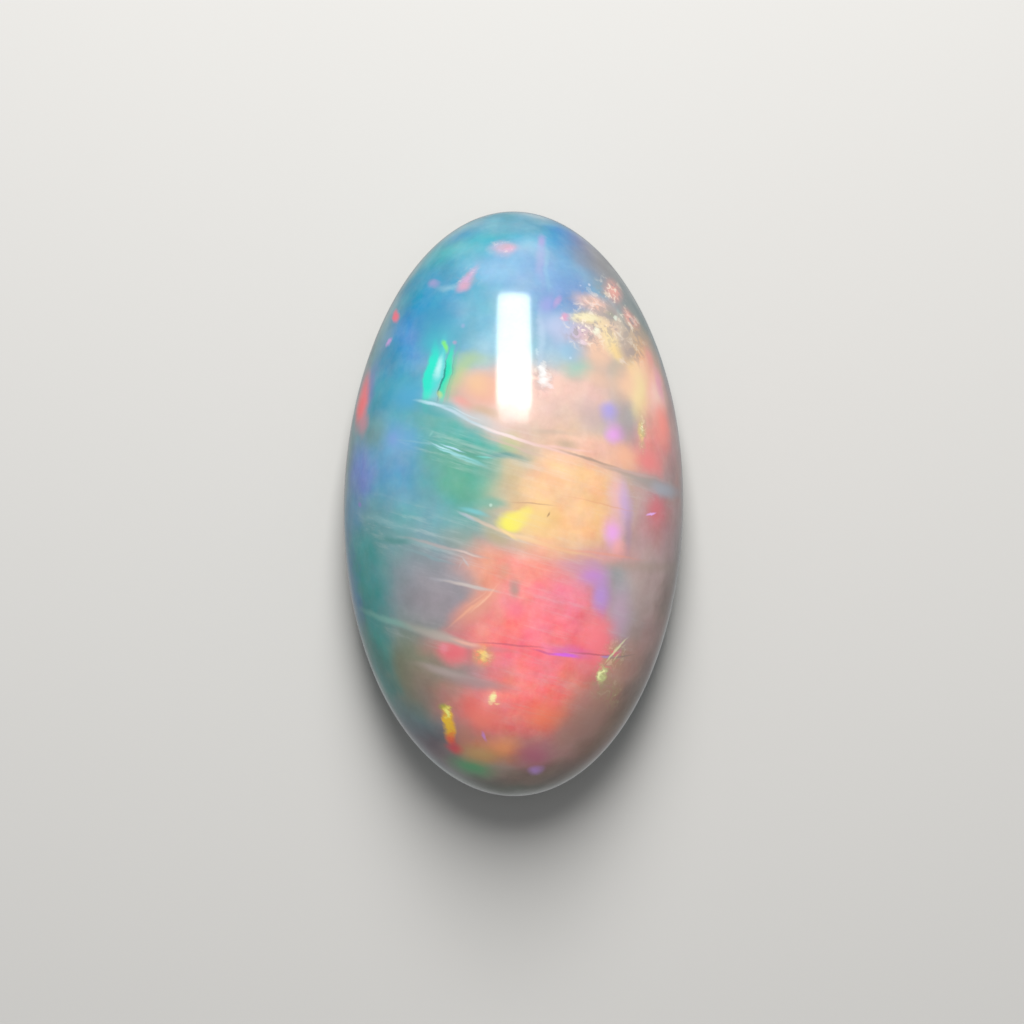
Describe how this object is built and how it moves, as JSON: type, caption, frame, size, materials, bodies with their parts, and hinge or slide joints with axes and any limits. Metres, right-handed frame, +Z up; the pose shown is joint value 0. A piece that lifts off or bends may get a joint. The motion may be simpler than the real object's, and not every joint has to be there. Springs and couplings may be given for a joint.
{
  "type": "polished oval opal cabochon",
  "caption": "Loose oval opal cabochon with a flat base and a high polished dome that shows play of colour, for setting or display.",
  "frame": {"origin": "middle of the flat base, under the middle of the stone's length and width", "axes": "+Y along the stone's length, +X across it, +Z up through the dome"},
  "size_m": [0.0104, 0.018, 0.0066],
  "materials": {
    "opal": "polished, milky, with flashes of green, blue, orange and pink"
  },
  "bodies": {
    "root": {"opal": "opal"}
  },
  "joints": []
}
